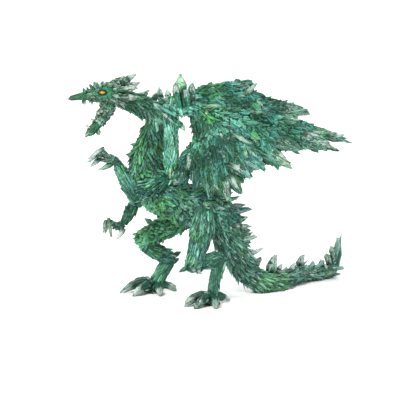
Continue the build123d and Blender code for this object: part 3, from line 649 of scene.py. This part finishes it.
def fringe(name, slot, seed, coat, to=None, narrow=(0.4, 0.6), fat=0.75):
    """Bundles of crystals round the points of a casting. They stand side by side across each point, at
    the shares in BUNDLE, and each aims at a place near the tip, those further out less far along. Each
    is fat times half the point's width, and narrows in the last narrow share of its length."""
    rng = np.random.default_rng(seed)
    tips, centres, sides, thin = chosen_points(name, to)
    forward = tips - centres
    across = BUNDLE[:, None, None] * sides
    root = (centres - 0.3 * forward + across).reshape(-1, 3)
    reach = 1.0 - 0.45 * np.abs(BUNDLE)[:, None] + rng.uniform(-0.1, 0.1, (len(BUNDLE), len(tips)))
    end = (centres + forward * reach[..., None] + 0.55 * across).reshape(-1, 3)
    axis, long = unit(end - root), np.linalg.norm(end - root, axis=1)
    wide = np.broadcast_to(fat * np.linalg.norm(sides, axis=1), reach.shape).ravel()
    up = np.broadcast_to(np.cross(unit(sides), unit(forward)), (*reach.shape, 3)).reshape(-1, 3)
    up = unit(up - axis * (up * axis).sum(1, keepdims=True))
    deep = np.broadcast_to(2.4 * thin, reach.shape).ravel()
    corners, levels = crystals(root, axis, up, long, wide, deep, rng.uniform(*narrow, len(root)), rng)
    stand(name, "fringe", slot, corners, levels, coat(end, rng))


def face_distance(place):
    """Distance from the middle of the face as seen from the side."""
    return np.hypot(place[:, 0] - face_middle[0], place[:, 2] - face_middle[2])


def on_skull(place, facing):
    """True on the skull behind the beak and outside the face."""
    return (place[:, 0] > beak_end) & ((face_distance(place) > FACE) | (np.abs(facing[:, 1]) < 0.6))


def on_face(place, facing):
    """True on the face, in a ring round the eye's socket."""
    away = face_distance(place)
    return (away <= FACE) & (away > SOCKET[0] * 0.9) & (np.abs(facing[:, 1]) >= 0.6)


def crest_frost(place):
    """More pale paint towards the back of the skull."""
    share = (place[:, 0] - beak_end) / (head_high[0] - beak_end)
    return 0.75 * share.clip(0, 1)


def point_frost(place):
    """Much pale paint on the crest and the cheeks, and none on the beak."""
    return 0.95 * (place[:, 0] > beak_end)


def is_tooth(tips, axis):
    """True of the points that hang down under the snout."""
    return (axis[:, 2] < -0.6) & (tips[:, 0] < teeth_end)


sweep_back = lay_along(snout, middle("head") + [-6 * MM, 0, 0], middle("neck_top") + [8 * MM, 0, 6 * MM])
beak_grass = [(snout, snout + [12 * MM, 0, 0], 6 * MM, 1.2)]
grow("head", "skull", 30, sweep_back, coat_of(8, 0.12, frosting=crest_frost), spacing=1.35,
     length=(2.2, 4.4), width=(1.1, 2.0), lift=26, stout=2.6, to=on_skull, swing=30, point=CHUNKY)
grow("head", "skull", 34, lay_from(face_middle), coat_of(10, 0.0, mean_light=0.5), spacing=1.05,
     length=(1.5, 2.8), width=(1.0, 1.8), lift=9, stout=2.0, to=on_face, swing=40, flat=0.4,
     kind="face_plates")
dress("head", "skull", 32, coat_of(17, 0.05, beak_grass, frosting=point_frost),
      to=lambda tips, axis: ~is_tooth(tips, axis))
fringe("head", "skull", 38, coat_of(17, 0.3, frosting=point_frost),
       to=lambda tips, axis: (tips[:, 0] > eye_spot[0]) & ~is_tooth(tips, axis))
dress("head", "tooth", 35, coat_of(18, 0.6), kind="upper_teeth", to=is_tooth)
for side, outer in SIDES:
    plant("head", f"{side}_brow_crystals", "skull", 36, coat_of(19, 0.25, frosting=crest_frost), outer,
          (0.24, 0.50, (-1.0, 0.6, 2.4), 2.2), (0.30, 0.52, (-1.4, 0.5, 2.6), 2.0),
          (0.35, 0.58, (-1.8, 1.0, 3.0), 2.2), (0.40, 0.66, (-0.5, 1.0, 2.6), 2.4),
          (0.47, 0.68, (2.0, 1.0, 2.2), 2.4), (0.54, 0.67, (3.4, 0.8, 1.6), 2.6),
          (0.60, 0.42, (4.6, 1.4, -1.4), 2.4), (0.56, 0.30, (3.6, 1.2, -2.0), 2.2),
          (0.30, 0.38, (-1.0, 1.0, -2.0), 2.0), (0.38, 0.34, (-0.6, 1.0, -2.4), 1.8))
grow("lower_jaw", "skull", 31, lay_along(jaw_high, middle("lower_jaw"), jaw_low), coat_of(9, 0.4),
     spacing=1.35, length=(1.9, 3.4), width=(1.2, 2.1), lift=34, stout=1.8, swing=50, point=CHUNKY)
dress("lower_jaw", "skull", 33, coat_of(18, 0.7), to=lambda tips, axis: axis[:, 2] < 0)
fringe("lower_jaw", "skull", 39, coat_of(18, 0.5), to=lambda tips, axis: axis[:, 2] < 0)
dress("lower_jaw", "tooth", 37, coat_of(18, 0.5), kind="lower_teeth", to=lambda tips, axis: axis[:, 2] >= 0)


def eye_mesh(name, place, facing, half, steps=24, rings=9):
    """A closed almond pad on the skin: an ellipsoid of half sizes half, pinched towards its two ends,
    where its height is less by PINCH times the square of the cosine. The rim attribute goes from 0 at
    its front to 1 at its edge."""
    along = unit(np.cross([0, 0, 1.0], facing))
    over = np.cross(facing, along)
    turn = 2 * np.pi * np.arange(steps) / steps
    climb = np.linspace(-np.pi / 2, np.pi / 2, rings)[1:-1, None]
    pinch = 1 - PINCH * np.cos(turn) ** 2
    places = (
        place
        + (np.cos(climb) * np.cos(turn) * half[0])[..., None] * along
        + (np.cos(climb) * np.sin(turn) * pinch * half[1])[..., None] * over
        + (np.sin(climb) * np.ones(steps) * half[2])[..., None] * facing
    ).reshape(-1, 3)
    places = np.concatenate([places, [place - half[2] * facing, place + half[2] * facing]])
    low = (np.arange(rings - 3)[:, None] * steps + np.arange(steps)).ravel()
    near = (np.arange(rings - 3)[:, None] * steps + (np.arange(steps) + 1) % steps).ravel()
    first, last = np.arange(steps), (rings - 3) * steps + np.arange(steps)
    back, front = len(places) - 2, len(places) - 1
    faces = np.stack([low, near, near + steps, low + steps], 1).tolist()
    faces += [[back, b, a] for a, b in zip(first, np.roll(first, -1))]
    faces += [[a, b, front] for a, b in zip(last, np.roll(last, -1))]
    mesh = bpy.data.meshes.new(name)
    mesh.from_pydata(places.tolist(), [], faces)
    mesh.polygons.foreach_set("use_smooth", np.ones(len(faces), bool))
    height = np.concatenate([np.repeat(climb, steps), [-np.pi / 2, np.pi / 2]])
    rim = mesh.attributes.new("rim", "FLOAT", "POINT")
    rim.data.foreach_set("value", np.cos(height.clip(0, None)).astype(np.float32))
    return mesh


def gold_enamel():
    """Glossy gold paint: light gold in the middle of the eye, which is also a painted highlight, amber
    round it, and dark at its rim, with edges that waver in marks of 0.7 mm."""
    material, tree, shader = acrylic("gold_enamel_on_eyes")
    rim = add(tree, "Attribute", attribute_name="rim").node.outputs["Fac"]
    place = add(tree, "TexCoord", output=3)
    marks = add(tree, "TexNoise", {"Vector": place, "Scale": 1.5 / MM, "Detail": 2.0})
    edge = add(tree, "Math", (marks, 0.25, rim), operation="MULTIPLY_ADD")
    amber, dark = (edge, 0.45, 0.8, 0.0, 1.0, "#6e5f14"), (edge, 0.95, 1.12, 0.0, 1.0, "#33240a")
    colour = brush(tree, paint("#a3942e"), amber, dark)
    tree.links.new(colour, shader.inputs["Base Color"])
    shader.inputs["Roughness"].default_value = 0.2
    return material


def socket_wash_and_shade():
    """The eye's socket: a nearly black brown-green wash that also stands in for the shade of the recess
    round the eye, and dries uneven in marks of 0.8 mm.
    """
    material, tree, shader = acrylic("wash_and_shade_in_eye_sockets")
    place = add(tree, "TexCoord", output=3)
    marks = add(tree, "TexNoise", {"Vector": place, "Scale": 1.2 / MM, "Detail": 3.0})
    colour = brush(tree, paint("#120f08"), (marks, 0.35, 0.65, 0.0, 1.0, "#22240f"))
    tree.links.new(colour, shader.inputs["Base Color"])
    shader.inputs["Roughness"].default_value = 0.45
    return material


enamel, wash = gold_enamel(), socket_wash_and_shade()
for side, outer in SIDES:
    place, facing = spot("head", *EYE_PLACE, outer)
    # The middle of each pad stands this many mm off the skin.
    for part, half, rise, material in (("eye_socket", SOCKET, 0.35, wash), ("eye", EYE, 0.7, enamel)):
        name = f"{side}_{part}"
        fix(name, eye_mesh(name, place + rise * MM * facing, facing, half), material)

# ---- Arms and hands -------------------------------------------------------------------------------
# Each arm is an upper arm, a forearm and a hand, pegged end to end. Long thin crystals lie along the
# bones, and the fingers end in pale hooked claws.
coats["limbs"] = crystal_paint("acrylic_on_limb_crystals", "#1e6a66", "#1a5838", "#37922a")
coats["claws"] = crystal_paint(
    "acrylic_on_hand_and_foot_crystals", "#206155", "#1a4f38", "#2f7646", "#9ac8bb", "#b2c1bc"
)
cores["limbs"] = core_paint("acrylic_on_limbs", "#1a5646")
cores["claws"] = core_paint("acrylic_on_claws", "#1a4c3e")


def bone(name, beyond):
    """The two ends of a casting's long axis, the second nearer to the point beyond. The axis is the
    direction in which the casting's skin, weighed by area, spreads the most."""
    triangles = skins[name]
    first, second = triangles[:, 1] - triangles[:, 0], triangles[:, 2] - triangles[:, 0]
    area = np.linalg.norm(np.cross(first, second), axis=1)
    centres = triangles.mean(1)
    centre = area @ centres / area.sum()
    spread = (centres - centre) * np.sqrt(area)[:, None]
    axis = np.linalg.eigh(spread.T @ spread)[1][:, -1]
    axis = axis * np.sign((beyond - centre) @ axis)
    reach = np.abs((centres - centre) @ axis).max()
    return centre - axis * reach, centre + axis * reach


def wrist_of(arm, hand):
    """The corner of a limb's last casting that lies nearest to the casting before it."""
    corners = skins[hand].reshape(-1, 3)
    return corners[np.argmin(np.linalg.norm(corners - middle(arm), axis=1))]


for k, (side, outer) in enumerate(SIDES):
    upper, fore, hand = (f"{side}_{part}" for part in ("upper_arm", "forearm", "hand"))
    shoulder, elbow = bone(upper, middle(fore))
    grow(upper, "limbs", 40 + k, lay_along(shoulder, elbow), coat_of(11 + k), spacing=1.4, length=(4, 8),
         width=(1.0, 1.7), lift=18, stout=3.0, ease=elbow)
    elbow, wrist = bone(fore, middle(hand))
    grow(fore, "limbs", 42 + k, lay_along(elbow, wrist), coat_of(13 + k, 0.05), spacing=1.3, length=(5, 9),
         width=(0.9, 1.5), lift=9, stout=2.6, swing=8, bold=0.06, ease=wrist)
    grow(hand, "claws", 44 + k, lay_from(wrist_of(fore, hand)), coat_of(15 + k, 0.3), spacing=1.2,
         length=(1.6, 3.0), width=(0.8, 1.4), lift=16, stout=1.8)
    dress(hand, "claws", 46 + k, coat_of(20, 0.7), back=0.6, fat=1.7)
    fringe(hand, "claws", 96 + k, coat_of(20, 0.7), fat=0.9)

# ---- Legs and feet --------------------------------------------------------------------------------
# Each leg is a thigh, a shin, a lower leg and a foot, pegged end to end. Needle crystals run down the
# bones. The left knee is a cluster of short crystals, and the right thigh has those of the belly. The
# feet are dark, with thick toes cast in one piece with the sole and chalk-pale claws.
KNEE = 9 * MM  # how far the left knee's cluster goes up from the end of the thigh
left_knee = bone("left_thigh", middle("left_shin"))[1]


def at_knee(place, facing):
    """True in the left knee's cluster."""
    return np.linalg.norm(place - left_knee, axis=1) < KNEE


for k, (side, outer) in enumerate(SIDES):
    thigh, shin, lower, foot = (f"{side}_{part}" for part in ("thigh", "shin", "lower_leg", "foot"))
    hip, knee = bone(thigh, middle(shin))
    if side == "left":
        grow(thigh, "limbs", 50, lay_along(hip, knee), coat_of(21, speckle=1.0, mean_light=0.42, flecks=0.08),
             spacing=1.4, length=(4.5, 8.5), width=(0.9, 1.6), lift=9, swing=9, stout=4.0, ease=knee,
             to=lambda place, facing: ~at_knee(place, facing))
        # The knee's crystals are lighter round the knee: a painted highlight on its rounded bulge.
        grow(thigh, "limbs", 92, lay_from(knee + [0, 0, 7 * MM]),
             coat_of(22, 0.35, light=[dab(knee, 9, 0.25)]), spacing=1.3, length=(2.0, 3.2), width=(1.6, 2.5),
             lift=30, swing=60, stout=2.0, to=at_knee, kind="knee_crystals", point=BLUNT)
    else:
        grow(thigh, "limbs", 51, lay_along(hip, knee), coat_of(23, grass=[(hip, knee, 10 * MM, 1.1)]),
             spacing=1.45, length=(2.6, 4.6), width=(1.4, 2.3), lift=32, swing=45, stout=4.0,
             point=BLUNT)
    dress(thigh, "limbs", 48 + k, coat_of(20, 0.3))
    knee, hock = bone(shin, middle(lower))
    grow(shin, "limbs", 52 + k, lay_along(knee, hock), coat_of(24 + k, speckle=0.7, mean_light=0.42),
         spacing=1.35, length=(4, 7), width=(0.9, 1.6), lift=12, stout=3.5, swing=20, ease=hock)
    hock, ankle = bone(lower, middle(foot))
    grow(lower, "limbs", 54 + k, lay_along(hock, ankle), coat_of(26 + k, 0.05), spacing=1.3, length=(5, 9),
         width=(0.9, 1.4), lift=8, stout=3.4, swing=7, bold=0.06, ease=ankle)
    dress(lower, "limbs", 90 + k, coat_of(20, 0.4))
    grow(foot, "claws", 56 + k, lay_from(wrist_of(lower, foot) + [0, 0, 2 * MM]),
         coat_of(28 + k, 0.35, mean_light=0.42), spacing=1.5, length=(2.0, 3.6), width=(1.2, 2.0), lift=26,
         stout=1.8, swing=40, point=BLUNT)
    dress(foot, "claws", 59 + k, coat_of(20, 0.8), back=0.25, narrow=(0.5, 0.75))
    fringe(foot, "claws", 98 + k, coat_of(20, 0.7), fat=0.7)

# ---- Wings ------------------------------------------------------------------------------------------
# Each wing is an upper arm that rises from the shoulder, a short forearm with the crystals at the wrist,
# and a flat fan of long blades. The fan's skin is leaf-shaped crystals that overlap like feathers and
# droop from the leading finger, with pale tips along the trailing edge.
coats["wing_arm"] = crystal_paint(
    "acrylic_on_wing_arm_crystals", "#43ab9e", "#2d8c6d", "#3f9f3a", "#a3e4d2", "#adbfb9"
)
coats["wing_fan"] = crystal_paint("acrylic_on_wing_crystals", "#1b6a66", "#195c33", "#35902a", "#78c6b0")
cores["wing_arm"] = core_paint("acrylic_on_wing_arms", "#26705a")
cores["wing_fan"] = core_paint("acrylic_on_wing_blades", "#1a5540")
# Dabs of grass green and of darker or lighter paint on each fan: the shares of its box's length and
# height, the radius in mm and the strength.
FAN_GRASS = ((0.16, 0.93, 7, 1.0), (0.51, 0.49, 5, 0.9), (0.28, 0.16, 7, 0.9), (0.40, 0.73, 5, 0.8),
             (0.10, 0.66, 4, 0.7))
FAN_SHADE = ((0.05, 0.37, 6, -0.4), (0.39, 0.31, 6, -0.35), (0.66, 0.66, 5, -0.3), (0.30, 0.60, 4, -0.3),
             (0.07, 0.56, 3, 0.35), (0.84, 0.64, 9, -0.22))


def droop_from(wrist, reach):
    """A lay of crystals away from the wrist, and more downwards the nearer to it. reach is how far the
    fan goes from the wrist."""

    def lay(place):
        share = np.linalg.norm(place - wrist, axis=1, keepdims=True) / reach
        return unit(unit(place - wrist) - np.array([0, 0, 0.8]) * (1 - share).clip(0, 1))

    return lay


def edge_frost(wrist, reach):
    """More pale paint towards the fan's outer edge, as the cube of the share of its reach."""
    return lambda place: 0.35 * (np.linalg.norm(place - wrist, axis=1) / reach).clip(0, 1) ** 3


for k, (side, outer) in enumerate(SIDES):
    upper, fore, fan = (f"{side}_wing_{part}" for part in ("upper_arm", "forearm", "fan"))
    root, elbow = bone(upper, middle(fore))
    upper_coat = coat_of(31 + k, 0.15, [(root, root + [0, 0, 12 * MM], 8 * MM, 1.4)], mean_light=0.62)
    grow(upper, "wing_arm", 60 + k, lay_along(root, elbow), upper_coat, spacing=1.35, length=(5, 9),
         width=(1.0, 1.6), lift=10, swing=9, stout=3.4, bold=0.08, ease=elbow + [0, 0, 4 * MM])
    dress(upper, "wing_arm", 66 + k, coat_of(20, 0.5))
    grow(fore, "wing_arm", 62 + k, lay_along(elbow, middle(fan)), coat_of(33 + k, 0.2), spacing=1.4,
         length=(3.2, 6), width=(1.2, 2.0), lift=20, stout=3.6, swing=25)
    dress(fore, "wing_arm", 68 + k, coat_of(20, 0.7, mean_light=0.2))
    fringe(fore, "wing_arm", 86 + k, coat_of(20, 0.7, mean_light=0.2))
    plant(upper, "elbow_plates", "wing_arm", 88 + k, coat_of(20, 0.6), outer,
          (0.28, 0.97, (8, 1, -3), 2.0), (0.28, 0.94, (9, 1, -5.5), 2.2), (0.25, 0.89, (8.5, 1, -7.5), 2.0),
          (0.25, 0.84, (7, 1, -9), 1.8))
    wrist = wrist_of(fore, fan)
    reach = np.linalg.norm(skins[fan].reshape(-1, 3) - wrist, axis=1).max()
    droop = droop_from(wrist, reach)
    grassy, shaded = (
        [dab(spot(fan, x, z, outer)[0], radius, strength) for x, z, radius, strength in dabs]
        for dabs in (FAN_GRASS, FAN_SHADE)
    )
    finger = [spot(fan, x, z, outer)[0] for x, z in ((0.16, 0.93), (0.46, 0.82))]
    shaded.append((*finger, 2.2 * MM, 0.5))
    fan_coat = dict(grass=grassy, light=shaded, frosting=edge_frost(wrist, reach), speckle=0.3,
                    mean_light=0.39, flecks=0.05)
    grow(fan, "wing_fan", 64 + k, droop, coat_of(35 + k, 0.05, **fan_coat), spacing=2.1, length=(2.4, 4.8),
         width=(1.5, 2.7), lift=26, flat=0.6, swing=60, stout=1.0, point=CHUNKY, on_points=True)
    grow(fan, "wing_fan", 82 + k, droop, coat_of(35 + k, 0.1, **fan_coat), spacing=3.1, length=(6, 11),
         width=(2.6, 4.6), lift=14, flat=0.45, swing=18, stout=1.0, bold=0.1, bold_size=1.4,
         point=(0.35, 0.6), on_points=True, kind="leaves")
    fringe(fan, "wing_fan", 78 + k, coat_of(39 + k, 0.45, mean_light=0.32), narrow=(0.2, 0.4), fat=0.8)

# The big pale crystals along the fans' edges stand on the left faces: the left fan's outer one and the
# right fan's inner one.
edge_coat = coat_of(46, 0.75, mean_light=0.35)
plant("left_wing_fan", "edge_crystals", "wing_fan", 100, edge_coat, -1,
      (0.80, 0.62, (11, 0.5, -0.5), 4.0), (0.82, 0.58, (9.5, 0.3, -3), 3.4),
      (0.76, 0.70, (12, 0.5, -3.5), 3.4), (0.51, 0.49, (9, 1, -5), 4.2), (0.58, 0.52, (6, 1, -5.5), 3.4),
      (0.31, 0.39, (9.5, 1, -4.5), 5.0), (0.32, 0.27, (3.5, 1, -8.5), 3.4), (0.29, 0.23, (1.5, 1, -7), 2.8),
      (0.91, 0.64, (7, 0, -1.5), 4.6), (0.89, 0.62, (6, 0, -4.5), 4.0), (0.93, 0.66, (7, 0, 1), 3.6))
plant("right_wing_fan", "edge_crystals", "wing_fan", 101, edge_coat, -1,
      (0.48, 0.87, (8, -0.5, 6.5), 4.4), (0.40, 0.96, (7, -0.5, 1.5), 3.2),
      (0.84, 0.62, (12.5, -0.5, 2), 4.2), (0.75, 0.72, (6, -0.5, 2.5), 3.0))

# ---- Tail -------------------------------------------------------------------------------------------
# Four castings pegged end to end, which lie on the ground and curl up at the end. The crystals point
# towards the tip, and a row of big pale ones is moulded along the top.
coats["tail"] = crystal_paint(
    "acrylic_on_tail_crystals", "#216a62", "#1b593a", "#34862e", "#93c9ba", "#b0c2bd"
)
cores["tail"] = core_paint("acrylic_on_tail", "#1c5a47")
under_root = haunch + np.array([9, 0, -8]) * MM
under_bend = middle("tail_bend") + np.array([0, -6, -9]) * MM
tail_grass = [dab(under_root, 9, 0.9), dab(under_bend, 12, 1.8)]
for k, name in enumerate(("tail_root", "tail_bend", "tail_sweep", "tail_end")):
    tail_coat = coat_of(41 + k, 0.1 + 0.06 * k, tail_grass, speckle=0.85, mean_light=0.44, flecks=0.1)
    grow(name, "tail", 70 + k, spine, tail_coat, spacing=1.5, length=(5, 9), width=(1.0, 2.0), lift=18,
         stout=4.4 - 0.5 * k, swing=15, point=(0.3, 0.55), bold_size=1.7)
    dress(name, "tail", 74 + k, coat_of(45, 0.75), fat=1.3)
fringe("tail_end", "tail", 93, coat_of(45, 0.6))
for k, (side, outer) in enumerate(SIDES):
    plant("tail_root", f"{side}_rump_crystals", "tail", 104 + k, coat_of(45, 0.75), outer,
          (0.41, 0.87, (12, 0.5, -0.5), 3.8), (0.63, 0.64, (10, 0.5, 2.5), 3.8),
          (0.85, 0.40, (9, 0.5, 4), 3.4))
for k, (side, outer) in enumerate(SIDES):
    plant("tail_end", f"{side}_tip_crystals", "tail", 94 + k, coat_of(45, 0.6), outer,
          (0.70, 0.41, (0.5, 0.5, 8), 2.6), (0.80, 0.55, (1.2, 0.3, 9), 2.8),
          (0.62, 0.34, (-1.5, 0.5, 5.5), 2.2), (0.47, 0.22, (-2, 0.6, 4.5), 2.0),
          (0.85, 0.72, (0.6, 0.2, 6.5), 2.4))

# ---- Table, lights and camera -----------------------------------------------------------------------
# The figure stands on a sheet of matt white laminate that curves up towards its rim. Three soft square
# lights and pale air all round light it evenly, and the camera looks at its left side, a little from above.
AZIMUTH, ELEVATION = np.radians(-14.0), np.radians(11.0)
right = np.array([np.cos(AZIMUTH), np.sin(AZIMUTH), 0])
level = np.array([-np.sin(AZIMUTH), np.cos(AZIMUTH), 0])
ahead = level * np.cos(ELEVATION) - np.array([0, 0, np.sin(ELEVATION)])
above = np.cross(right, ahead)
VIEW_WIDTH = 250 * MM  # what the camera's frame spans at the figure
DISTANCE = 2.4         # from the camera to the figure, in metres
AIM = -9.2 * MM * right + 60.6 * MM * above  # the middle of the frame

FLAT = 0.35  # share of the table's half size that is flat

camera_data = bpy.data.cameras.new("camera")
camera_data.sensor_width = 36.0
camera_data.lens = camera_data.sensor_width * DISTANCE / VIEW_WIDTH
camera = bpy.data.objects.new("camera", camera_data)
camera.location = AIM - DISTANCE * ahead
camera.rotation_euler = Vector(ahead).to_track_quat("-Z", "Y").to_euler()
bpy.context.collection.objects.link(camera)
bpy.context.scene.camera = camera


def table_mesh(size, rise, steps):
    """A square sheet whose rim curves up. The distance from the middle is measured in halves of the
    sheet's size, and the height is rise times the fourth power of how far that is past FLAT."""
    u, v = np.meshgrid(np.linspace(-1, 1, steps), np.linspace(-1, 1, steps), indexing="ij")
    height = rise * np.clip(np.hypot(u, v) - FLAT, 0, None) ** 4
    places = np.stack([u * size / 2, v * size / 2, height], -1).reshape(-1, 3)
    corner = (np.arange(steps - 1)[:, None] * steps + np.arange(steps - 1)).ravel()
    mesh = bpy.data.meshes.new("table")
    faces = np.stack([corner, corner + steps, corner + steps + 1, corner + 1], 1)
    mesh.from_pydata(places.tolist(), [], faces.tolist())
    mesh.polygons.foreach_set("use_smooth", np.ones(len(corner), bool))
    return mesh


table = bpy.data.objects.new("table", table_mesh(size=6.0, rise=1.2, steps=65))
bpy.context.collection.objects.link(table)
laminate = bpy.data.materials.new("matt_white_laminate")
laminate.use_nodes = True
laminate.node_tree.nodes["Principled BSDF"].inputs["Base Color"].default_value = paint("#f8f9f9")
laminate.node_tree.nodes["Principled BSDF"].inputs["Roughness"].default_value = 0.7
table.data.materials.append(laminate)


def softbox(name, place, size, watts, tint="#ffffff"):
    """A square area light at place, turned to the middle of the figure, 70 mm up."""
    light = bpy.data.lights.new(name, "AREA")
    light.size = size
    light.energy = watts
    light.color = paint(tint)[:3]
    lamp = bpy.data.objects.new(name, light)
    lamp.location = place
    lamp.rotation_euler = (Vector((0, 0, 70 * MM)) - Vector(place)).to_track_quat("-Z", "Y").to_euler()
    bpy.context.collection.objects.link(lamp)


softbox("key_light", (-0.6, -0.8, 1.0), 0.5, 24, "#fffaf2")
softbox("fill_light", (0.9, -0.9, 0.5), 0.9, 5, "#f2f8ff")
softbox("back_light", (0.1, 0.9, 0.9), 0.8, 10)
world = bpy.data.worlds.new("studio_air")
world.use_nodes = True
world.node_tree.nodes["Background"].inputs["Color"].default_value = paint("#f7f9fa")
world.node_tree.nodes["Background"].inputs["Strength"].default_value = 0.7
bpy.context.scene.world = world
bpy.context.scene.view_settings.view_transform = "Standard"
